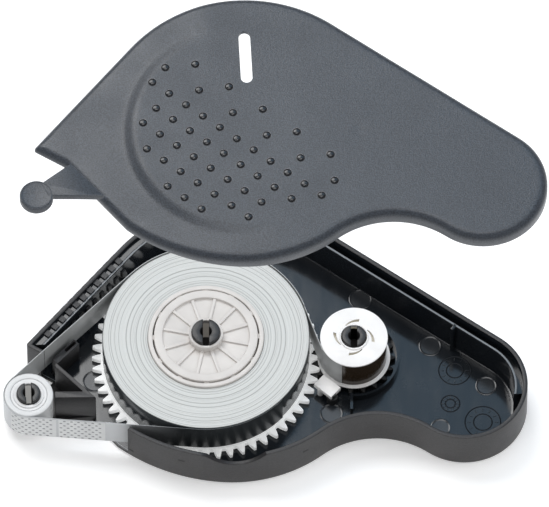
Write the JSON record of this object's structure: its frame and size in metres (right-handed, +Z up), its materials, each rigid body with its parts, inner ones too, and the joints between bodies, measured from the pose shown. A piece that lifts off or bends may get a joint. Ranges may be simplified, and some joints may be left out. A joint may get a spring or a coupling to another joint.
{
  "type": "hand-held adhesive pad dispenser",
  "caption": "Hand-held dispenser that feeds adhesive pads off a liner tape: flat beaked casing with lift-off cover, geared supply roll, take-up spool and front roller.",
  "frame": {"origin": "supply spool axis at the plane of the casing's underside", "axes": "+X from the supply axis to the take-up axis and the handle, +Y to the straight back wall, +Z up out of the casing through the cover"},
  "size_m": [0.1777, 0.0972, 0.1527],
  "materials": {
    "casing": "moulded, lightly glossy charcoal",
    "post": "moulded",
    "cover": "fine spark-eroded grain",
    "guard": "fine grain",
    "cover_pip": "smooth",
    "cover_inside": "moulded",
    "gear_white": "moulded white",
    "core_white": "moulded warm white",
    "tape_side": "wound edge with fine rings",
    "felt": "felt",
    "spool_white": "bright white",
    "wound_liner": "glossy film edge-on",
    "roller_white": "moulded",
    "sleeve": "translucent soft sleeve",
    "liner": "smooth silicone-coated liner",
    "pad": "fine net pattern"
  },
  "bodies": {
    "casing": {"lower_casing": "casing", "supply_post": "post", "takeup_post": "post", "roller_post": "post", "pinion_shroud": "casing", "grip_nubs": "casing", "pawl_pin": "post", "feed_tape": "liner", "adhesive_pads": "pad", "return_liner": "liner", "crossing_liner": "liner"},
    "cover": {"upper_cover": "cover", "roller_guard": "guard", "cover_pips": "cover_pip", "locating_tongues": "cover_inside"},
    "supply": {"drive_gear": "gear_white", "tape_core": "core_white", "tape_roll": "tape_side"},
    "pinion": {"takeup_pinion": "post", "clutch_washer": "felt"},
    "takeup": {"takeup_spool": "spool_white", "wound_liner": "wound_liner"},
    "roller": {"front_roller": "roller_white", "roller_sleeve": "sleeve"},
    "pawl": {"reverse_pawl": "spool_white"}
  },
  "joints": [
    {"name": "cover_lift", "type": "slide", "parent": "casing", "child": "cover", "axis": [0.0341, 0, 0.9994], "range_m": [-0.12907, 0]},
    {"name": "supply_spin", "type": "hinge", "parent": "casing", "child": "supply", "pos_m": [0, 0, 0.01], "axis": [0, 0, 1], "continuous": true},
    {"name": "pinion_spin", "type": "hinge", "parent": "casing", "child": "pinion", "pos_m": [0.049, 0, 0.01], "axis": [0, 0, 1], "continuous": true},
    {"name": "clutch_slip", "type": "hinge", "parent": "pinion", "child": "takeup", "pos_m": [0.049, 0, 0.01], "axis": [0, 0, 1], "continuous": true},
    {"name": "roller_spin", "type": "hinge", "parent": "casing", "child": "roller", "pos_m": [-0.0585, -0.0217, 0.01], "axis": [0, 0, 1], "continuous": true},
    {"name": "pawl_swing", "type": "hinge", "parent": "casing", "child": "pawl", "pos_m": [0.0418, -0.0152, 0.005], "axis": [0, 0, 1], "range_deg": [-12, 0]}
  ],
  "couplings": [
    {"joint": "pinion_spin", "follows": "supply_spin", "ratio": -2.9474},
    {"joint": "roller_spin", "follows": "supply_spin", "ratio": 4.3481}
  ]
}
